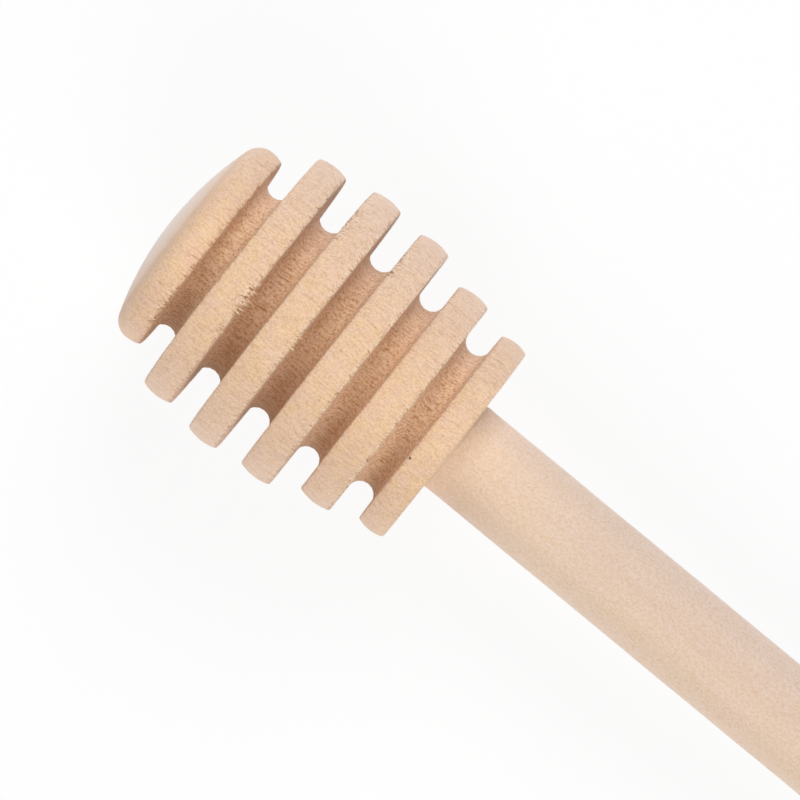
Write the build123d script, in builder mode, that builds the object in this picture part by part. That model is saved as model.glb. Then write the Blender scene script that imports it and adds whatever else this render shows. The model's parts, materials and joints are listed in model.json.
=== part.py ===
from build123d import *
from math import asin, atan2, cos, degrees, hypot, radians, sin, sqrt, tan
import os

# Wooden honey dipper, lying on a level surface along X with its grooved head towards -X.
# It rests on the crest of its governing ring and on the rounded edge of its handle's butt.
# The origin is on that surface, under the middle of the length and of the largest ring.
# The head is a turned block of six rings and five grooves. The handle is a dowel whose
# shouldered tenon is glued into a blind hole in the head's back face. The hole was drilled
# a little askew, so the two axes meet at a slight angle, which lies level here.
# All lengths are in millimetres and all angles in degrees.

# Rings and grooves of the head, from the domed end towards the handle
ring_radii = [10.8, 13.3, 14.0, 13.6, 12.05, 10.9]
ring_widths = [2.9, 3.2, 3.25, 3.3, 3.4, 2.85]
groove_widths = [2.35, 2.55, 2.55, 2.4, 2.45]
core_radii = [7.6, 8.2, 8.25, 8.2, 7.65]
crest_crown = 0.3
crest_corner_radius = 0.25

# Domed end of the head: a shallow spherical cap with a rounded shoulder
dome_radius = 30.4
dome_shoulder_radius = 1.9

# Dowel handle, its length measured from the shoulder to the butt
handle_radius = 4.65
handle_length = 127.0
butt_edge_radius = 2.0

# Tenon, blind hole and glue
tenon_radius = 3.0
tenon_length = 15.0
tenon_chamfer = 0.5
glue_thickness = 0.1
glue_pool_depth = 0.8
glue_setback = 0.3
drill_point_angle = 118.0
hole_skew = 1.26
hole_offset = 0.07

# Rounded corners take at most this share of the faces beside them, and the dome's shoulder
# takes at most this share of the first ring's width
corner_limit_share = 0.48
shoulder_limit_share = 0.9
cut_overrun = 1.0


def crest_arc_radius(width):
    """Radius of the arc that bows out a crest of this width by the crown."""
    return (width**2 / 4 + crest_crown**2) / (2 * crest_crown)


# Places along the head's axis, counted from its back face towards the dome
ring_backs = [sum(ring_widths[i + 1 :]) + sum(groove_widths[i:]) for i in range(len(ring_radii))]
ring_fronts = [back + width for back, width in zip(ring_backs, ring_widths)]
ring_centres = [(front + back) / 2 for front, back in zip(ring_fronts, ring_backs)]
dome_rim_radius = ring_radii[0] - crest_crown
dome_rise = dome_radius - sqrt(dome_radius**2 - dome_rim_radius**2)
head_length = ring_fronts[0] + dome_rise

# The back face stands off the handle's shoulder by the glue and by half the skew's opening
skew = radians(hole_skew)
shoulder_gap = glue_thickness + handle_radius * tan(skew)
hole_radius = tenon_radius + glue_thickness
hole_depth = tenon_length + glue_pool_depth
drill_point_length = hole_radius / tan(radians(drill_point_angle / 2))

# The two rounded feet in the plane of both axes: place along the handle, distance of the
# rounding's centre from the axis, and the rounding's radius
butt_foot = (handle_length - butt_edge_radius, handle_radius - butt_edge_radius, butt_edge_radius)
crest_feet = [
    (-shoulder_gap - centre * cos(skew), radius - crest_arc_radius(width), crest_arc_radius(width))
    for centre, radius, width in zip(ring_centres, ring_radii, ring_widths)
]


def rest_slope(crest_foot):
    """Angle between the handle's axis and a line that is tangent to this crest and the butt."""
    run = butt_foot[0] - crest_foot[0]
    drop = crest_foot[1] - butt_foot[1]
    return atan2(drop, run) + asin((crest_foot[2] - butt_foot[2]) / hypot(run, drop))


# The steepest of these lines is the surface that the dipper lies on
resting_crest = max(crest_feet, key=rest_slope)
slope = rest_slope(resting_crest)
axis_height = resting_crest[1] * cos(slope) + resting_crest[2] + resting_crest[0] * sin(slope)
dome_tip = -shoulder_gap - head_length * cos(skew)
largest_ring = ring_radii.index(max(ring_radii))
handle_side = hole_offset + ring_centres[largest_ring] * sin(skew)

# Both planes hold both axes. Their X runs along the handle or the head, towards the butt.
handle_plane = Plane(
    origin=(-(dome_tip + handle_length) / 2 * cos(slope), handle_side, axis_height),
    x_dir=(cos(slope), 0, -sin(slope)),
    z_dir=(sin(slope), 0, cos(slope)),
)
head_plane = Plane(handle_plane.location * Location((-shoulder_gap, -hole_offset, 0), (0, 0, hole_skew)))
handle_axis = Axis(handle_plane.origin, handle_plane.x_dir)
head_axis = Axis(head_plane.origin, head_plane.x_dir)


def round_corners(section, corners):
    """Round the corners of a section that lie at the given points, each by its own radius."""
    for place, radius in corners:
        fillet(section.vertices().sort_by_distance(place)[0], radius=radius)


def crest_corner(width, height):
    """Corner radius of a ring, where its width and the height of its flank allow it."""
    return min(crest_corner_radius, corner_limit_share * width, corner_limit_share * height)


# Grooved head: half of its outline, turned about its axis
with BuildPart() as grooved_head:
    with BuildSketch(head_plane) as head_section:
        corners = []
        with BuildLine():
            dome_edge = (-ring_fronts[0], dome_rim_radius)
            RadiusArc((-head_length, 0), dome_edge, dome_radius)
            for i, radius in enumerate(ring_radii):
                crest_edge = radius - crest_crown
                front = (-ring_fronts[i], crest_edge)
                back = (-ring_backs[i], crest_edge)
                ThreePointArc(front, (-ring_centres[i], radius), back)
                if i < len(groove_widths):
                    core = core_radii[i]
                    next_front = (-ring_fronts[i + 1], ring_radii[i + 1] - crest_crown)
                    root_back = (back[0], core)
                    root_front = (next_front[0], core)
                    Polyline(back, root_back, root_front, next_front)
                    flank = min(crest_edge, next_front[1]) - core
                    root_radius = corner_limit_share * min(groove_widths[i], flank)
                    corners += [(root_back, root_radius), (root_front, root_radius)]
                    corners.append((back, crest_corner(ring_widths[i], crest_edge - core)))
                    corners.append((next_front, crest_corner(ring_widths[i + 1], next_front[1] - core)))
            corners.append((back, crest_corner(ring_widths[-1], crest_edge - core_radii[-1])))
            shoulder_limit = shoulder_limit_share * ring_widths[0]
            corners.append((dome_edge, min(dome_shoulder_radius, shoulder_limit)))
            Polyline(back, (0, 0), (-head_length, 0))
        make_face()
        round_corners(head_section, corners)
    revolve(axis=head_axis)
    with BuildSketch(handle_plane) as hole_section:
        with BuildLine():
            hole_bottom = (-hole_depth, hole_radius)
            drill_tip = (-hole_depth - drill_point_length, 0)
            mouth = shoulder_gap + cut_overrun
            Polyline(drill_tip, hole_bottom, (mouth, hole_radius), (mouth, 0), close=True)
        make_face()
    revolve(axis=handle_axis, mode=Mode.SUBTRACT)
grooved_head.part.label = "grooved_head"

# Handle: a dowel with a rounded butt and a turned-down tenon at its other end
with BuildPart() as handle:
    with BuildSketch(handle_plane) as handle_section:
        with BuildLine():
            butt_corner = (handle_length, handle_radius)
            tenon_corner = (-tenon_length, tenon_radius)
            Polyline(
                (-tenon_length, 0),
                tenon_corner,
                (0, tenon_radius),
                (0, handle_radius),
                butt_corner,
                (handle_length, 0),
                close=True,
            )
        make_face()
        fillet(handle_section.vertices().sort_by_distance(butt_corner)[0], radius=butt_edge_radius)
        chamfer(handle_section.vertices().sort_by_distance(tenon_corner)[0], length=tenon_chamfer)
    revolve(axis=handle_axis)
handle.part.label = "handle"

# Cured glue: all that the hole and the tenon leave free, out to just inside the handle's face
with BuildPart() as glue_film:
    with BuildSketch(handle_plane):
        with BuildLine():
            glue_bottom = -hole_depth - drill_point_length
            glue_edge = handle_radius - glue_setback
            Polyline((glue_bottom, 0), (glue_bottom, glue_edge), (0, glue_edge), (0, 0), close=True)
        make_face()
    revolve(axis=handle_axis)
    add(grooved_head.part, mode=Mode.SUBTRACT)
    add(handle.part, mode=Mode.SUBTRACT)
glue_film.part.label = "glue_film"

os.makedirs("parts", exist_ok=True)
export_step(grooved_head.part, "parts/grooved_head.step")
export_step(handle.part, "parts/handle.step")
export_step(glue_film.part, "parts/glue_film.step")

print("slope of the handle", round(degrees(slope), 3), "degrees")
print("head length", round(head_length, 3), "and shoulder gap", round(shoulder_gap, 3))
print("handle plane", handle_plane.origin, handle_plane.x_dir)
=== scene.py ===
import bmesh
import bpy
import json
import math
import random
from mathutils import Matrix, Vector, geometry, noise


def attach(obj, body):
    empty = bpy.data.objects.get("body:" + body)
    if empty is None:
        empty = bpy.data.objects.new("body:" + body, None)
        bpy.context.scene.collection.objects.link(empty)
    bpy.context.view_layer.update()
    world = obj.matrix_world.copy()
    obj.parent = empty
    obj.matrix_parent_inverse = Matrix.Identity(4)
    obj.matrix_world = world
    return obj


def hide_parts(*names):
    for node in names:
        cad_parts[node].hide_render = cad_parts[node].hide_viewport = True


# Honey dipper of bare wood, lying on a pale studio floor: a turned head, a dowel handle and glue.
# Each piece is drawn in millimetres on its own axis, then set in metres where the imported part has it.
# Along a piece's axis X runs towards the butt, and Z is the side that the photograph shows.

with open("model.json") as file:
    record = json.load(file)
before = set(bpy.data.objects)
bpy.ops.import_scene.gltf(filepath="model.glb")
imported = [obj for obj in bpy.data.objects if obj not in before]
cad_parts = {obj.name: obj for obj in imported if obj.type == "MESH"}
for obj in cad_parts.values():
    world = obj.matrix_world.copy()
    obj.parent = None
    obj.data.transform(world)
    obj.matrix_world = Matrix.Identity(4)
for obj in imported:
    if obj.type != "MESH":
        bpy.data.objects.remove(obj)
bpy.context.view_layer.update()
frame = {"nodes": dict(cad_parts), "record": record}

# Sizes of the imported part, in millimetres and degrees. Rings count from the domed end.
ring_radii = (10.8, 13.3, 14.0, 13.6, 12.05, 10.9)
ring_widths = (2.9, 3.2, 3.25, 3.3, 3.4, 2.85)
groove_widths = (2.35, 2.55, 2.55, 2.4, 2.45)
core_radii = (7.6, 8.2, 8.25, 8.2, 7.65)
crest_crown = 0.3
crest_corner_radius = 0.25
groove_root_share = 0.48
dome_radius = 30.4
dome_rise = 1.871
dome_shoulder_radius = 1.9
handle_radius = 4.65
handle_length = 127.0
butt_edge_radius = 2.0
tenon_radius = 3.0
tenon_length = 15.0
tenon_chamfer = 0.5
hole_radius = 3.1
hole_depth = 15.8
drill_point_length = 1.863
shoulder_gap = 0.202
hole_offset = 0.07
hole_skew = 1.26
glue_setback = 0.3
bead_setback = 0.04

ring_backs = [sum(ring_widths[i + 1 :]) + sum(groove_widths[i:]) for i in range(len(ring_radii))]
ring_fronts = [back + width for back, width in zip(ring_backs, ring_widths)]
head_length = ring_fronts[0] + dome_rise
dome_edge_inset = 1.05
dome_edge = dome_edge_inset - head_length

# Spacing of the mesh points, in millimetres, and their number round each piece
crest_spacing = 0.4
flank_spacing = 1.6
dome_spacing = 0.8
handle_spacing = 1.2
corner_segments = 2
root_segments = 4
butt_segments = 8
head_segments = 600
handle_segments = 160
long_edge_share = 1.5
merge_distance = 0.0005

# Torn places of the rings' edges: ring, side of the ring, first and last angle from the shown side, and
# strength. Every other edge is a little torn as well, apart from the clean one.
handle_side, dome_side = 1, -1
torn_places = (
    (1, handle_side, -52, -24, 0.85),
    (1, handle_side, -24, 16, 0.68),
    (2, handle_side, -23, 3, 0.75),
    (2, handle_side, -9, 0, 0.92),
    (3, handle_side, -22, 1, 0.7),
    (4, handle_side, -14, -3, 0.65),
    (5, handle_side, -34, -29, 0.65),
    (3, dome_side, 36, 56, 0.75),
    (4, dome_side, 36, 56, 0.75),
    (5, dome_side, 56, 67, 0.7),
    (6, dome_side, -23, -15, 0.6),
    (2, handle_side, 148, 172, 0.8),
    (4, handle_side, -176, -150, 0.75),
    (3, handle_side, 152, 170, 0.6),
    (1, handle_side, 125, 160, 0.7),
)
torn_place_fade = 4.0
clean_edge = (6, handle_side)
edge_tearing = {handle_side: 0.65, dome_side: 0.5}

# How torn the plain crests and the grooves are, and over what length the tearing sets in at the dome
plain_tearing = 0.1
groove_tearing = 0.3
dome_fade = 1.6

# Notches at the edges: depth where the tearing is full, width, reach along and down the ring's side, and
# the share of the edge that stays whole. The steps keep the noise of one edge off the next one's, and the
# degrees per radian are rounded, which fixes where along an edge its notches fall.
tear_depth = 0.8
tear_width = 0.36
tear_reach = 0.6
chip_height_share = 4.0
whole_share = 0.12
ring_step = 9.7
side_step = 3.1
degrees_per_radian = 57.3

# Open cuts: reach from the edge where the tearing is full, and how soon they are at their full
cut_reach = 1.5
cut_growth = 1.3

# Wavering of the lathe and relief of the grain, which is the deeper the more a place is torn
wobble_depth = 0.05
wobble_width = 6.0
grain_depth = 0.025
grain_length = 1.6
grain_width = 0.45
smooth_grain_share = 0.4
torn_grain_share = 1.7

# One open pit in the last ring's crest, drawn by its colour alone as a painted shade spot: its place on
# the head, and the radii of its rim and its floor
pit_place = (-2.587, -3.353, 10.12)
pit_rim = 0.17
pit_floor = 0.07

# Torn fibres that stand off the edges of the rings: how far their roots lie inside the ring and under its
# crest, and the middle and spread of the angles at which they turn and lift. The worst torn places have
# most of them.
fibre_count = 60
fibre_lengths = (0.3, 0.8)
fibre_widths = (0.06, 0.1)
fibre_tip_share = 0.25
fibre_sides = 4
fibre_roots = (0.1, 0.3)
fibre_sinks = (0.0, 0.12)
fibre_turn = (0, 9)
fibre_lift = (-4, 8)
fibre_gathering = 4
fibre_seed = 11

# Where the pieces lie: the butt's mount gives the handle's axis, and the head sits askew on it
millimetre = 0.001
mounts = {mount["name"]: mount for mount in frame["record"]["mounts"]}
along = Vector(mounts["butt_face"]["axis"]).normalized()
across = Vector((0, 1, 0))
upward = along.cross(across)
shoulder = Vector(mounts["butt_face"]["pos_m"]) - along * handle_length * millimetre
turn = Matrix((along, across, upward)).transposed().to_quaternion()
handle_place = Matrix.LocRotScale(shoulder, turn, Vector((millimetre,) * 3))
head_seat = Matrix.Translation((-shoulder_gap, -hole_offset, 0)) @ Matrix.Rotation(
    math.radians(hole_skew), 4, "Z"
)
head_place = handle_place @ head_seat


# Mesh tools


def draw_line(bm, start, place):
    """Draw on from a point of an outline to this place, and return the new point."""
    end = bm.verts.new((*place, 0))
    bm.edges.new((start, end))
    return end


def draw_arc(bm, start, centre, first_angle, last_angle, spacing):
    """Draw on from a point of an outline round this centre, and return the last point."""
    reach = (start.co.xy - Vector(centre)).length
    steps = max(2, round(abs(last_angle - first_angle) * reach / spacing))
    swept = bmesh.ops.spin(
        bm, geom=[start], cent=(*centre, 0), axis=(0, 0, 1), angle=last_angle - first_angle, steps=steps
    )
    return next(point for point in swept["geom_last"] if isinstance(point, bmesh.types.BMVert))


def round_corner(bm, corner, radius, segments):
    """Round a corner of an outline to this radius."""
    before, after = (edge.other_vert(corner).co - corner.co for edge in corner.link_edges)
    offset = radius * math.tan((math.pi - before.angle(after)) / 2)
    bmesh.ops.bevel(
        bm,
        geom=[corner],
        offset=offset,
        offset_type="OFFSET",
        segments=segments,
        profile=0.5,
        affect="VERTICES",
        material=-1,
    )


def divide_long_edges(bm, spacing):
    """Add points to an outline wherever they are further apart than this."""
    for edge in [edge for edge in bm.edges if edge.calc_length() > long_edge_share * spacing]:
        cuts = round(edge.calc_length() / spacing) - 1
        bmesh.ops.subdivide_edges(bm, edges=[edge], cuts=cuts)


def turn_outline(bm, segments):
    """Turn an outline about X into a closed form with its faces outwards."""
    outline = bm.verts[:] + bm.edges[:]
    bmesh.ops.spin(
        bm, geom=outline, cent=(0, 0, 0), axis=(1, 0, 0), angle=math.tau, steps=segments, use_merge=True
    )
    bmesh.ops.remove_doubles(bm, verts=bm.verts, dist=merge_distance)
    bmesh.ops.recalc_face_normals(bm, faces=bm.faces)


def make_piece(name, bm, place, material, replaced=None):
    """Make a piece from its mesh, set it in place and let it ride with the part."""
    for face in bm.faces:
        face.smooth = True
    mesh = bpy.data.meshes.new(name)
    bm.to_mesh(mesh)
    bm.free()
    mesh.transform(place)
    mesh.materials.append(material)
    piece = bpy.data.objects.new(name, mesh)
    bpy.context.scene.collection.objects.link(piece)
    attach(piece, "root")
    if replaced:
        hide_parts(replaced)


# Material tools


def colour(code):
    """Turn an sRGB hex colour into linear red, green, blue and alpha."""
    shares = [int(code[i : i + 2], 16) / 255 for i in (1, 3, 5)]
    return (*[s / 12.92 if s <= 0.04045 else ((s + 0.055) / 1.055) ** 2.4 for s in shares], 1)


def add_node(tree, kind, sockets=None, **settings):
    """Add a node with its settings. A socket is given a value, or another node's output to link."""
    node = tree.nodes.new(kind)
    for name, value in settings.items():
        setattr(node, name, value)
    for socket, value in (sockets or {}).items():
        if isinstance(value, bpy.types.NodeSocket):
            tree.links.new(value, node.inputs[socket])
        else:
            node.inputs[socket].default_value = value
    return node


def new_material(name):
    """Make an empty material and return it with its node tree and output node."""
    material = bpy.data.materials.new(name)
    material.use_nodes = True
    tree = material.node_tree
    tree.nodes.clear()
    return material, tree, add_node(tree, "ShaderNodeOutputMaterial")


def grain_space(tree, place):
    """Object coordinates turned along a piece's own axis, in millimetres from its origin."""
    location, rotation, scale = place.decompose()
    coordinates = add_node(tree, "ShaderNodeTexCoord")
    return add_node(
        tree,
        "ShaderNodeMapping",
        {
            "Vector": coordinates.outputs["Object"],
            "Location": location,
            "Rotation": rotation.to_euler(),
            "Scale": scale,
        },
        vector_type="TEXTURE",
    ).outputs["Vector"]


def how_far(tree, value, middle):
    """How far a value is from a middle one, on either side of it."""
    off = add_node(tree, "ShaderNodeMath", {0: value, 1: middle}, operation="SUBTRACT")
    return add_node(tree, "ShaderNodeMath", {0: off.outputs[0]}, operation="ABSOLUTE").outputs[0]


# Wood that is left bare has a faint sheen from the fine loose fibres on its face
bare_wood = {"IOR": 1.5, "Sheen Weight": 0.2, "Sheen Roughness": 0.5}


# Beech, turned on a lathe and left bare. Short vessels along the grain give it fine flecks, and where
# the tool tore it, in the grooves and at the edges, they open into little cuts, darkened with painted
# shade. Real vessels are under 0.1 mm wide, which is too fine to show, so that grain, vessels and cuts
# are drawn coarser.
def turned_beech():
    material, tree, output = new_material("turned_beech")
    space = grain_space(tree, head_place)
    tearing = add_node(tree, "ShaderNodeAttribute", attribute_name="tearing").outputs["Fac"]
    # Fine grain 0.15 mm wide and 0.25 mm long, and vessels 0.24 mm wide and 1.6 mm long
    short_grain = add_node(tree, "ShaderNodeMapping", {"Vector": space, "Scale": (0.6, 1, 1)})
    streaks = add_node(
        tree,
        "ShaderNodeTexNoise",
        {"Vector": short_grain.outputs[0], "Scale": 6.5, "Detail": 3.0, "Roughness": 0.65},
    )
    long_grain = add_node(tree, "ShaderNodeMapping", {"Vector": space, "Scale": (0.15, 1, 1)})
    vessels = add_node(
        tree,
        "ShaderNodeTexNoise",
        {"Vector": long_grain.outputs[0], "Scale": 4.2, "Detail": 1.0, "Roughness": 0.5},
    )
    torn_share = add_node(
        tree, "ShaderNodeMapRange", {"Value": tearing, "To Min": 0.2, "To Max": 0.6}
    )
    open_vessels = add_node(
        tree,
        "ShaderNodeMapRange",
        {
            "Value": vessels.outputs[0],
            "From Min": 0.2,
            "From Max": torn_share.outputs[0],
            "To Min": 1,
            "To Max": 0,
        },
    )
    # Patches of 1 mm, where the wood is a little pinker or more yellow
    patches = add_node(tree, "ShaderNodeTexNoise", {"Vector": space, "Scale": 0.9, "Detail": 3.0})
    patch_share = add_node(
        tree, "ShaderNodeMapRange", {"Value": patches.outputs[0], "From Min": 0.35, "From Max": 0.65}
    )
    ground = add_node(
        tree,
        "ShaderNodeMix",
        {0: patch_share.outputs[0], 6: colour("#EDCAAF"), 7: colour("#F0CDA5")},
        data_type="RGBA",
    )
    # Painted sheen: the wood is drawn paler towards both sides as seen from above, where its faces turn
    # away and catch the white surround, a little more of it at the side towards +Y and in the grooves
    place = add_node(tree, "ShaderNodeSeparateXYZ", {0: space})
    off_centre = how_far(tree, place.outputs["Y"], -1.5)
    sheen_reach = add_node(
        tree,
        "ShaderNodeMapRange",
        {
            "Value": tearing,
            "From Min": plain_tearing,
            "From Max": groove_tearing,
            "To Min": 18,
            "To Max": 12,
        },
    )
    rim_sheen_share = add_node(
        tree,
        "ShaderNodeMapRange",
        {"Value": off_centre, "From Min": 5, "From Max": sheen_reach.outputs[0]},
    )
    rim_sheened = add_node(
        tree,
        "ShaderNodeMix",
        {0: rim_sheen_share.outputs[0], 6: ground.outputs[2], 7: colour("#F4DAC9")},
        data_type="RGBA",
    )
    # Where it is torn, the face is fresh and pale and its grain stands out
    contrast = add_node(
        tree,
        "ShaderNodeMapRange",
        {"Value": tearing, "From Min": 0, "From Max": groove_tearing, "To Min": 0.35, "To Max": 1.0},
    )
    fresh_share = add_node(
        tree,
        "ShaderNodeMapRange",
        {"Value": tearing, "From Min": plain_tearing, "From Max": 0.5, "To Min": 0, "To Max": 0.35},
    )
    fresh = add_node(
        tree,
        "ShaderNodeMix",
        {0: fresh_share.outputs[0], 6: rim_sheened.outputs[2], 7: colour("#FBE6CC")},
        data_type="RGBA",
    )
    grain = add_node(
        tree, "ShaderNodeMix", {0: 0.3, 2: streaks.outputs[0], 3: vessels.outputs[0]}, data_type="FLOAT"
    )
    streak_share = add_node(
        tree,
        "ShaderNodeMapRange",
        {
            "Value": grain.outputs[0],
            "From Min": 0.58,
            "From Max": 0.34,
            "To Min": 0,
            "To Max": contrast.outputs[0],
        },
    )
    streaked = add_node(
        tree,
        "ShaderNodeMix",
        {0: streak_share.outputs[0], 6: fresh.outputs[2], 7: colour("#BF8A5B")},
        data_type="RGBA",
    )
    vessel_share = add_node(
        tree, "ShaderNodeMath", {0: open_vessels.outputs[0], 1: 0.6}, operation="MULTIPLY"
    )
    flecked = add_node(
        tree,
        "ShaderNodeMix",
        {0: vessel_share.outputs[0], 6: streaked.outputs[2], 7: colour("#B77E4D")},
        data_type="RGBA",
    )
    # Silky fibres that the tool has lifted but not cut, in the grooves and along the edges
    lifted = add_node(
        tree,
        "ShaderNodeMapRange",
        {
            "Value": tearing,
            "From Min": plain_tearing,
            "From Max": groove_tearing,
            "To Min": 0,
            "To Max": 0.5,
        },
    )
    silk_share = add_node(
        tree,
        "ShaderNodeMapRange",
        {
            "Value": vessels.outputs[0],
            "From Min": 0.53,
            "From Max": 0.7,
            "To Min": 0,
            "To Max": lifted.outputs[0],
        },
    )
    silky = add_node(
        tree,
        "ShaderNodeMix",
        {0: silk_share.outputs[0], 6: flecked.outputs[2], 7: colour("#EDD0AE")},
        data_type="RGBA",
    )
    # Open cuts about 0.1 mm wide and up to 2 mm long, only where an edge is torn; their dark colour is
    # painted shade between lifted fibres
    cut_grain = add_node(tree, "ShaderNodeMapping", {"Vector": space, "Scale": (0.1, 1, 1)})
    cuts = add_node(
        tree, "ShaderNodeTexNoise", {"Vector": cut_grain.outputs[0], "Scale": 4.5, "Detail": 0.0}
    )
    cut_limit = add_node(
        tree,
        "ShaderNodeMapRange",
        {"Value": tearing, "From Min": plain_tearing, "From Max": 0.9, "To Min": 0.1, "To Max": 0.47},
    )
    cut_depth = add_node(
        tree, "ShaderNodeMath", {0: cut_limit.outputs[0], 1: cuts.outputs[0]}, operation="SUBTRACT"
    )
    cut_share = add_node(
        tree,
        "ShaderNodeMapRange",
        {"Value": cut_depth.outputs[0], "From Min": 0, "From Max": 0.08, "To Min": 0, "To Max": 0.8},
    )
    cut_shaded = add_node(
        tree,
        "ShaderNodeMix",
        {0: cut_share.outputs[0], 6: silky.outputs[2], 7: colour("#9C6B43")},
        data_type="RGBA",
    )
    # The dome is end grain and finely pored, and drawn paler, which is partly painted sheen from its
    # grazing view. It sets in 1.2 mm before the dome's edge and is full 0.5 mm past it, and a faint
    # darker line runs round it there. Both waver a little.
    end_pores = add_node(
        tree,
        "ShaderNodeMapRange",
        {"Value": streaks.outputs[0], "From Min": 0.62, "From Max": 0.36},
    )
    waver = add_node(
        tree,
        "ShaderNodeMath",
        {0: patches.outputs[0], 1: 0.5, 2: place.outputs["X"]},
        operation="MULTIPLY_ADD",
    )
    dome_share = add_node(
        tree,
        "ShaderNodeMapRange",
        {"Value": waver.outputs[0], "From Min": dome_edge + 1.2, "From Max": dome_edge - 0.5},
    )
    from_line = how_far(tree, waver.outputs[0], dome_edge + 0.8)
    line_share = add_node(
        tree,
        "ShaderNodeMapRange",
        {"Value": from_line, "From Min": 0.4, "From Max": 0.0, "To Min": 0, "To Max": 0.32},
    )
    end_grain_and_sheen = add_node(
        tree,
        "ShaderNodeMix",
        {0: end_pores.outputs[0], 6: colour("#F7E9E2"), 7: colour("#E9D1C3")},
        data_type="RGBA",
    )
    faced = add_node(
        tree,
        "ShaderNodeMix",
        {0: dome_share.outputs[0], 6: cut_shaded.outputs[2], 7: end_grain_and_sheen.outputs[2]},
        data_type="RGBA",
    )
    lined = add_node(
        tree,
        "ShaderNodeMix",
        {0: line_share.outputs[0], 6: faced.outputs[2], 7: colour("#C99878")},
        data_type="RGBA",
    )
    # Painted shade in the open pit
    from_pit = add_node(tree, "ShaderNodeVectorMath", {0: space, 1: pit_place}, operation="DISTANCE")
    pit_shade_share = add_node(
        tree,
        "ShaderNodeMapRange",
        {"Value": from_pit.outputs["Value"], "From Min": pit_rim, "From Max": pit_floor},
    )
    pit_shaded = add_node(
        tree,
        "ShaderNodeMix",
        {0: pit_shade_share.outputs[0], 6: lined.outputs[2], 7: colour("#54402E")},
        data_type="RGBA",
    )
    rough = add_node(
        tree, "ShaderNodeMapRange", {"Value": streaks.outputs[0], "To Min": 0.68, "To Max": 0.88}
    )
    opened = add_node(
        tree, "ShaderNodeMath", {0: open_vessels.outputs[0], 1: cut_share.outputs[0]}, operation="ADD"
    )
    relief = add_node(
        tree,
        "ShaderNodeMath",
        {0: opened.outputs[0], 1: -0.2, 2: streaks.outputs[0]},
        operation="MULTIPLY_ADD",
    )
    coarse = add_node(
        tree,
        "ShaderNodeMapRange",
        {"Value": tearing, "From Min": 0, "From Max": groove_tearing, "To Min": 0, "To Max": 0.7},
    )
    bump = add_node(
        tree,
        "ShaderNodeBump",
        {"Height": relief.outputs[0], "Strength": coarse.outputs[0], "Distance": 0.00007},
    )
    shader = add_node(
        tree,
        "ShaderNodeBsdfPrincipled",
        {
            "Base Color": pit_shaded.outputs[2],
            "Roughness": rough.outputs[0],
            "Normal": bump.outputs[0],
            **bare_wood,
        },
    )
    tree.links.new(shader.outputs[0], output.inputs[0])
    return material


# Beech dowel, sanded along its length and left bare. It is smoother, paler and pinker than the head, with
# long faint lines along the grain, 0.45 mm wide and 8 mm long, and fine faint pores all over, drawn
# 0.2 mm wide and 0.3 mm long so that they show.
def sanded_dowel():
    material, tree, output = new_material("sanded_beech_dowel")
    space = grain_space(tree, handle_place)
    long_grain = add_node(tree, "ShaderNodeMapping", {"Vector": space, "Scale": (0.06, 1, 1)})
    lines = add_node(
        tree,
        "ShaderNodeTexNoise",
        {"Vector": long_grain.outputs[0], "Scale": 2.2, "Detail": 3.0, "Roughness": 0.6},
    )
    short_grain = add_node(tree, "ShaderNodeMapping", {"Vector": space, "Scale": (0.6, 1, 1)})
    pores = add_node(
        tree,
        "ShaderNodeTexNoise",
        {"Vector": short_grain.outputs[0], "Scale": 5.5, "Detail": 2.0, "Roughness": 0.65},
    )
    line_share = add_node(
        tree, "ShaderNodeMapRange", {"Value": lines.outputs[0], "From Min": 0.35, "From Max": 0.65}
    )
    ground = add_node(
        tree,
        "ShaderNodeMix",
        {0: line_share.outputs[0], 6: colour("#EDD1B4"), 7: colour("#EED5C0")},
        data_type="RGBA",
    )
    # Painted sheen: the wood is drawn paler towards both sides as seen from above, where its faces turn
    # away, a little more of it at the side towards +Y
    place = add_node(tree, "ShaderNodeSeparateXYZ", {0: space})
    off_centre = how_far(tree, place.outputs["Y"], -0.8)
    rim_sheen_share = add_node(
        tree, "ShaderNodeMapRange", {"Value": off_centre, "From Min": 2.2, "From Max": 5.4}
    )
    rim_sheened = add_node(
        tree,
        "ShaderNodeMix",
        {0: rim_sheen_share.outputs[0], 6: ground.outputs[2], 7: colour("#EED8CA")},
        data_type="RGBA",
    )
    pore_share = add_node(
        tree,
        "ShaderNodeMapRange",
        {"Value": pores.outputs[0], "From Min": 0.6, "From Max": 0.3, "To Min": 0, "To Max": 0.9},
    )
    flecked = add_node(
        tree,
        "ShaderNodeMix",
        {0: pore_share.outputs[0], 6: rim_sheened.outputs[2], 7: colour("#DFBD9C")},
        data_type="RGBA",
    )
    # Painted shade: the wood is drawn a little darker along the middle, more and more up to 16 mm off the
    # head
    from_middle = how_far(tree, place.outputs["Y"], 0.9)
    off_head = add_node(
        tree, "ShaderNodeMapRange", {"Value": place.outputs["X"], "From Min": 2, "From Max": 16}
    )
    painted_shade_share = add_node(
        tree,
        "ShaderNodeMapRange",
        {
            "Value": from_middle,
            "From Min": 5.0,
            "From Max": 0.5,
            "To Min": 0,
            "To Max": off_head.outputs[0],
        },
    )
    dowel_shaded = add_node(
        tree,
        "ShaderNodeMix",
        {0: painted_shade_share.outputs[0], 6: flecked.outputs[2], 7: colour("#EFEFF5")},
        data_type="RGBA",
        blend_type="MULTIPLY",
    )
    rough = add_node(
        tree, "ShaderNodeMapRange", {"Value": lines.outputs[0], "To Min": 0.55, "To Max": 0.69}
    )
    bump = add_node(
        tree,
        "ShaderNodeBump",
        {"Height": pores.outputs[0], "Strength": 0.3, "Distance": 0.00002},
    )
    shader = add_node(
        tree,
        "ShaderNodeBsdfPrincipled",
        {
            "Base Color": dowel_shaded.outputs[2],
            "Roughness": rough.outputs[0],
            "Normal": bump.outputs[0],
            **bare_wood,
        },
    )
    tree.links.new(shader.outputs[0], output.inputs[0])
    return material


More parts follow.
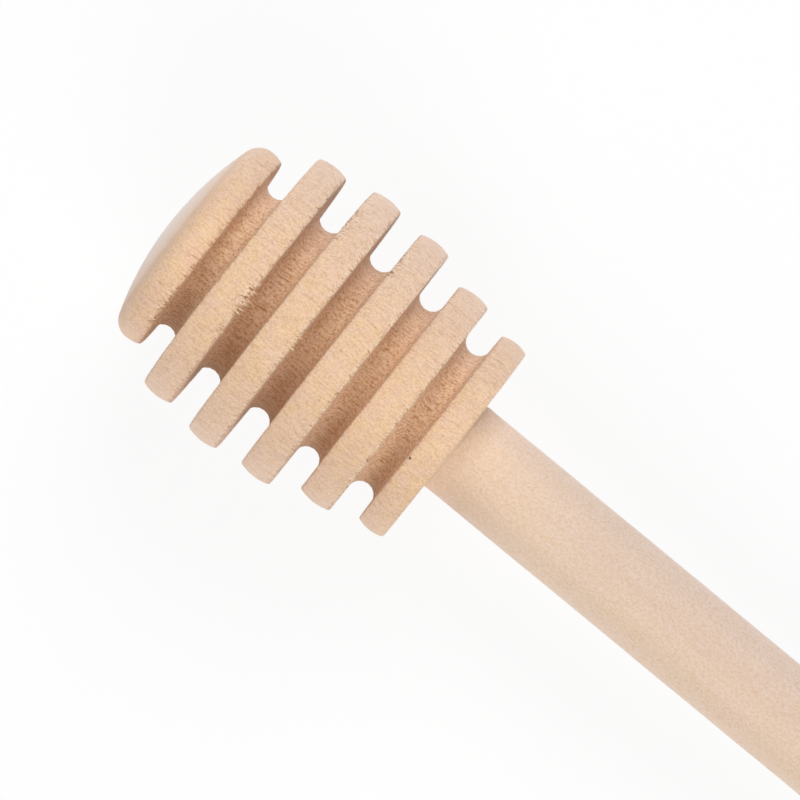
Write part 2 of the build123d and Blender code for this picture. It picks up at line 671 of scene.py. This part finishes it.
# Fibres torn out of the beech. They are thin, dry and about as pale as the face, some of them yellower.
def torn_fibre():
    material, tree, output = new_material("torn_beech_fibre")
    space = grain_space(tree, head_place)
    tints = add_node(tree, "ShaderNodeTexNoise", {"Vector": space, "Scale": 1.4, "Detail": 1.0})
    tint_share = add_node(
        tree, "ShaderNodeMapRange", {"Value": tints.outputs[0], "From Min": 0.3, "From Max": 0.7}
    )
    tinted = add_node(
        tree,
        "ShaderNodeMix",
        {0: tint_share.outputs[0], 6: colour("#E6C49E"), 7: colour("#F2D8B6")},
        data_type="RGBA",
    )
    rough = add_node(
        tree, "ShaderNodeMapRange", {"Value": tints.outputs[0], "To Min": 0.6, "To Max": 0.8}
    )
    shader = add_node(
        tree,
        "ShaderNodeBsdfPrincipled",
        {"Base Color": tinted.outputs[2], "Roughness": rough.outputs[0], **bare_wood},
    )
    tree.links.new(shader.outputs[0], output.inputs[0])
    return material


# Cured wood glue between the head and the handle's shoulder. It has dried nearly clear over the wood,
# so it looks almost the same, only a little yellower and smoother, with clouds of about 1 mm.
def wood_glue():
    material, tree, output = new_material("cured_wood_glue")
    space = grain_space(tree, handle_place)
    clouds = add_node(tree, "ShaderNodeTexNoise", {"Vector": space, "Scale": 0.8, "Detail": 2.0})
    cloudy = add_node(
        tree,
        "ShaderNodeMix",
        {0: clouds.outputs[0], 6: colour("#F1DABD"), 7: colour("#F5E2CA")},
        data_type="RGBA",
    )
    rough = add_node(
        tree, "ShaderNodeMapRange", {"Value": clouds.outputs[0], "To Min": 0.35, "To Max": 0.55}
    )
    bump = add_node(
        tree, "ShaderNodeBump", {"Height": clouds.outputs[0], "Strength": 0.4, "Distance": 0.00005}
    )
    shader = add_node(
        tree,
        "ShaderNodeBsdfPrincipled",
        {
            "Base Color": cloudy.outputs[2],
            "Roughness": rough.outputs[0],
            "Normal": bump.outputs[0],
            "IOR": 1.48,
        },
    )
    tree.links.new(shader.outputs[0], output.inputs[0])
    return material


# Grooved head


def heading(centre, place):
    """Angle of a place seen from a centre, in an outline."""
    return math.atan2(place[1] - centre[1], place[0] - centre[0])


def crown_arc_radius(width):
    """Radius of the arc that bows out a crest of this width."""
    return (width**2 / 4 + crest_crown**2) / (2 * crest_crown)


def draw_head(bm):
    """Draw half the head's outline, from the dome's tip over the rings and back into the hole."""
    roots, crests = [], []
    dome_centre = (dome_radius - head_length, 0)
    point = bm.verts.new((-head_length, 0, 0))
    for i, radius in enumerate(ring_radii):
        arc_radius = crown_arc_radius(ring_widths[i])
        centre = ((-ring_fronts[i] - ring_backs[i]) / 2, radius - arc_radius)
        front = (-ring_fronts[i], radius - crest_crown)
        back = (-ring_backs[i], radius - crest_crown)
        start = heading(centre, front)
        if i == 0:
            found = geometry.intersect_sphere_sphere_2d(
                dome_centre, dome_radius - dome_shoulder_radius, centre, arc_radius - dome_shoulder_radius
            )
            rounding = max(found, key=lambda place: place.y)
            dome_end, start = heading(dome_centre, rounding), heading(centre, rounding)
            point = draw_arc(bm, point, dome_centre, math.pi, dome_end, dome_spacing)
            point = draw_arc(bm, point, rounding, dome_end, start, crest_spacing)
        else:
            core = core_radii[i - 1]
            flank = min(point.co.y, front[1]) - core
            root = groove_root_share * min(groove_widths[i - 1], flank)
            for x in (-ring_backs[i - 1], -ring_fronts[i]):
                point = draw_line(bm, point, (x, core))
                roots.append((point, root))
            point = draw_line(bm, point, front)
            crests.append(point)
        point = draw_arc(bm, point, centre, start, heading(centre, back), crest_spacing)
        crests.append(point)
    for place in ((0, hole_radius), (-hole_depth, hole_radius), (-hole_depth - drill_point_length, 0)):
        point = draw_line(bm, point, place)
    for corner, radius in roots:
        round_corner(bm, corner, radius, root_segments)
    for corner in crests:
        round_corner(bm, corner, crest_corner_radius, corner_segments)
    divide_long_edges(bm, flank_spacing)


def torn_strength(edge, angle):
    """How torn the edge of a ring is at this angle from the shown side."""
    strength = plain_tearing if edge == clean_edge else edge_tearing[edge[1]]
    for ring, side, first, last, most in torn_places:
        if (ring, side) == edge:
            inside = min(angle - first, last - angle) / torn_place_fade + 1
            strength = max(strength, most * min(1, max(0, inside)))
    return strength


def in_hole(place):
    """Tell whether a place on the head belongs to the hole that the tenon sits in."""
    return place.x > -head_length / 2 and place.yz.length < hole_radius + merge_distance


def tear_head(bm):
    """Press the wavering of the lathe, the grain and the torn edges into the head, always inwards."""
    tearing = bm.verts.layers.float.new("tearing")
    # Every ring has two edges, apart from the first, whose front runs over into the dome
    ring_edges = [
        ((ring + 1, side), -places[ring], ring_radii[ring] - crest_crown)
        for side, places in ((dome_side, ring_fronts), (handle_side, ring_backs))
        for ring in range(len(ring_radii))
        if (ring, side) != (0, dome_side)
    ]
    nearest_edges = {}
    bm.normal_update()
    for vert in bm.verts:
        x, radius = vert.co.x, vert.co.yz.length
        if in_hole(vert.co):
            continue
        angle = math.degrees(math.atan2(vert.co.y, vert.co.z))
        spot = (round(x, 2), round(radius, 2))
        if spot not in nearest_edges:
            nearest_edges[spot] = min(ring_edges, key=lambda e: abs(e[1] - x) + abs(e[2] - radius))
        edge, edge_x, edge_radius = nearest_edges[spot]
        off_edge = math.hypot(edge_x - x, (edge_radius - radius) / chip_height_share)
        nearness = max(0, 1 - off_edge / tear_reach)
        strength = torn_strength(edge, angle)
        crest = radius > edge_radius - crest_corner_radius
        if x < -ring_backs[0] - crest_corner_radius:
            plain = plain_tearing * min(1, max(0, (x - dome_edge) / dome_fade))
        else:
            plain = plain_tearing if crest else groove_tearing
        torn_away = strength**3
        cut_share = max(0, 1 - math.hypot(edge_x - x, edge_radius - radius) / (cut_reach * torn_away))
        vert[tearing] = max(plain, strength * min(1, cut_growth * cut_share))
        wobble = wobble_depth * (1 + noise.noise(vert.co / wobble_width)) / 2
        fine = Vector((vert.co.x / grain_length, vert.co.y / grain_width, vert.co.z / grain_width))
        relief = grain_depth * (smooth_grain_share + torn_grain_share * plain)
        grain = relief * (1 + noise.noise(fine)) / 2
        ring, side = edge
        round_edge = angle / degrees_per_radian * radius
        where = Vector((round_edge / tear_width, ring_step * ring + side_step * side, x))
        notch = max(0, noise.noise(where) - whole_share) * tear_depth * torn_away * nearness
        vert.co -= vert.normal * (wobble + grain)
        vert.co.x -= side * notch


def make_head():
    bm = bmesh.new()
    draw_head(bm)
    turn_outline(bm, head_segments)
    hole = [vert for vert in bm.verts if in_hole(vert.co)]
    mouth = [vert for vert in hole if vert.co.x > -merge_distance]
    bmesh.ops.transform(bm, matrix=head_seat.inverted(), verts=hole)
    for vert in mouth:
        vert.co.x = 0
    tear_head(bm)
    make_piece("turned_head", bm, head_place, turned_beech(), "grooved_head")


def make_fibres():
    """Set slivers of torn wood on the torn edges that face the handle."""
    chance = random.Random(fibre_seed)
    bm = bmesh.new()
    feathered = [place for place in torn_places if place[1] == handle_side and place[0] > 1]
    weights = [(last - first) * most**fibre_gathering for _, _, first, last, most in feathered]
    for _ in range(fibre_count):
        ring, side, first, last, most = chance.choices(feathered, weights)[0]
        angle = chance.uniform(first, last)
        length = chance.uniform(*fibre_lengths) * most
        width = chance.uniform(*fibre_widths)
        edge_x = -ring_backs[ring - 1]
        edge_radius = ring_radii[ring - 1] - crest_crown - chance.uniform(*fibre_sinks)
        turned = Matrix.Rotation(math.radians(chance.gauss(*fibre_turn)), 4, "Z")
        lifted = Matrix.Rotation(math.radians(chance.gauss(*fibre_lift)), 4, "Y")
        along_head = Matrix.Rotation(math.radians(90) * side, 4, "Y")
        root = Matrix.Translation((edge_x - side * chance.uniform(*fibre_roots), 0, edge_radius))
        about = Matrix.Rotation(math.radians(-angle), 4, "X")
        half_length = Matrix.Translation((0, 0, length / 2))
        bmesh.ops.create_cone(
            bm,
            cap_ends=True,
            cap_tris=False,
            segments=fibre_sides,
            radius1=width,
            radius2=width * fibre_tip_share,
            depth=length,
            matrix=about @ root @ turned @ lifted @ along_head @ half_length,
        )
    make_piece("torn_fibres", bm, head_place, torn_fibre())


# Handle


def make_handle():
    bm = bmesh.new()
    point = bm.verts.new((-tenon_length, 0, 0))
    for place in (
        (-tenon_length, tenon_radius - tenon_chamfer),
        (-tenon_length + tenon_chamfer, tenon_radius),
        (0, tenon_radius),
        (0, handle_radius),
        (handle_length, handle_radius),
    ):
        point = draw_line(bm, point, place)
    draw_line(bm, point, (handle_length, 0))
    round_corner(bm, point, butt_edge_radius, butt_segments)
    divide_long_edges(bm, handle_spacing)
    turn_outline(bm, handle_segments)
    bm.normal_update()
    for vert in bm.verts:
        if vert.co.x > merge_distance:
            wobble = wobble_depth * (1 + noise.noise(vert.co / wobble_width)) / 2
            vert.co -= vert.normal * wobble
    # The shoulder's two rims stay sharp
    for edge in bm.edges:
        if all(abs(vert.co.x) < merge_distance for vert in edge.verts):
            edge.smooth = abs(edge.verts[0].co.yz.length - edge.verts[1].co.yz.length) > merge_distance
    make_piece("dowel_handle", bm, handle_place, sanded_dowel(), "handle")


def make_glue_bead(material):
    """Fill the open end of the joint with glue, from the handle's shoulder to the head's back face."""
    bm = bmesh.new()
    inner, outer = handle_radius - glue_setback, handle_radius - bead_setback
    first = point = bm.verts.new((-shoulder_gap, inner, 0))
    for place in ((-shoulder_gap, outer), (0, outer), (0, inner)):
        point = draw_line(bm, point, place)
    bm.edges.new((point, first))
    turn_outline(bm, handle_segments)
    for vert in bm.verts:
        if vert.co.x < -merge_distance:
            vert.co.x -= (vert.co.y + hole_offset) * math.tan(math.radians(hole_skew))
    make_piece("glue_bead", bm, handle_place, material)


make_head()
make_fibres()
make_handle()
cured_glue = wood_glue()
make_glue_bead(cured_glue)
glue = frame["nodes"]["glue_film"]
glue.data.materials.clear()
glue.data.materials.append(cured_glue)

# Studio: a wide white floor, a dim even surround and three soft lamps of one size: one above the picture,
# one below it and a weaker one at its left. Each has its name, its turn from the handle's direction, its
# height angle and its power.

floor_half_width = 3.0
floor_white_share = 0.88
surround_strength = 0.14
lamps = (("upper_lamp", 105, 46, 5.35), ("lower_lamp", 315, 43, 4.55), ("left_lamp", 210, 30, 1.8))
lamp_distance = 0.9
lamp_size = 0.6


def seen_directly(tree):
    """1 for the camera's own, mirrored and transmitted rays, and 0 for those that carry soft light."""
    rays = add_node(tree, "ShaderNodeLightPath")
    some = add_node(
        tree,
        "ShaderNodeMath",
        {0: rays.outputs["Is Camera Ray"], 1: rays.outputs["Is Glossy Ray"]},
        operation="MAXIMUM",
    )
    every = add_node(
        tree,
        "ShaderNodeMath",
        {0: some.outputs[0], 1: rays.outputs["Is Transmission Ray"]},
        operation="MAXIMUM",
    )
    return every.outputs[0]


def make_floor():
    # White paper, lit as it lies, but mostly plain white to the eye, so that it keeps a faint shadow
    material, tree, output = new_material("white_paper")
    share = add_node(
        tree, "ShaderNodeMath", {0: seen_directly(tree), 1: floor_white_share}, operation="MULTIPLY"
    )
    paper = add_node(tree, "ShaderNodeBsdfDiffuse", {"Color": colour("#F7F7F7")})
    white = add_node(tree, "ShaderNodeEmission", {"Color": colour("#FFFFFF"), "Strength": 1.0})
    mixed = add_node(
        tree, "ShaderNodeMixShader", {0: share.outputs[0], 1: paper.outputs[0], 2: white.outputs[0]}
    )
    tree.links.new(mixed.outputs[0], output.inputs[0])
    bm = bmesh.new()
    bmesh.ops.create_grid(bm, x_segments=1, y_segments=1, size=floor_half_width)
    mesh = bpy.data.meshes.new("floor")
    bm.to_mesh(mesh)
    bm.free()
    mesh.materials.append(material)
    floor = bpy.data.objects.new("floor", mesh)
    bpy.context.scene.collection.objects.link(floor)


def make_surround():
    world = bpy.data.worlds.new("white_surround")
    world.use_nodes = True
    tree = world.node_tree
    tree.nodes.clear()
    white = colour("#FFFFFF")
    lit = add_node(tree, "ShaderNodeBackground", {"Color": white, "Strength": surround_strength})
    seen = add_node(tree, "ShaderNodeBackground", {"Color": white, "Strength": 1.0})
    mixed = add_node(
        tree, "ShaderNodeMixShader", {0: seen_directly(tree), 1: lit.outputs[0], 2: seen.outputs[0]}
    )
    output = add_node(tree, "ShaderNodeOutputWorld")
    tree.links.new(mixed.outputs[0], output.inputs[0])
    bpy.context.scene.world = world


def make_lamp(name, azimuth, height, power):
    data = bpy.data.lights.new(name, "AREA")
    data.shape = "DISK"
    data.size = lamp_size
    data.energy = power
    lamp = bpy.data.objects.new(name, data)
    raised = Matrix.Rotation(math.radians(-height), 3, "Y")
    towards = turn @ (Matrix.Rotation(math.radians(azimuth), 3, "Z") @ raised @ Vector((1, 0, 0)))
    lamp.location = shoulder + towards * lamp_distance
    lamp.rotation_euler = towards.to_track_quat("Z", "Y").to_euler()
    lamp.visible_camera = False
    bpy.context.scene.collection.objects.link(lamp)


# Camera: square on to the handle from above, its picture turned so that the handle runs down right. The
# place that it looks at lies this far along the handle's axis from the shoulder.

view_point_on_axis = -6.725
view_distance = 558.6
view_turn = 39.52
lens = 275.0
sensor_width = 36.0


def make_camera():
    data = bpy.data.cameras.new("camera")
    data.lens = lens
    data.sensor_width = sensor_width
    camera = bpy.data.objects.new("camera", data)
    above = Matrix.Translation((view_point_on_axis, 0, view_distance))
    view = handle_place @ above @ Matrix.Rotation(math.radians(view_turn), 4, "Z")
    location, rotation, _ = view.decompose()
    camera.location = location
    camera.rotation_euler = rotation.to_euler()
    bpy.context.scene.collection.objects.link(camera)
    bpy.context.scene.camera = camera


make_floor()
make_surround()
for lamp in lamps:
    make_lamp(*lamp)
make_camera()
bpy.context.scene.view_settings.view_transform = "Standard"
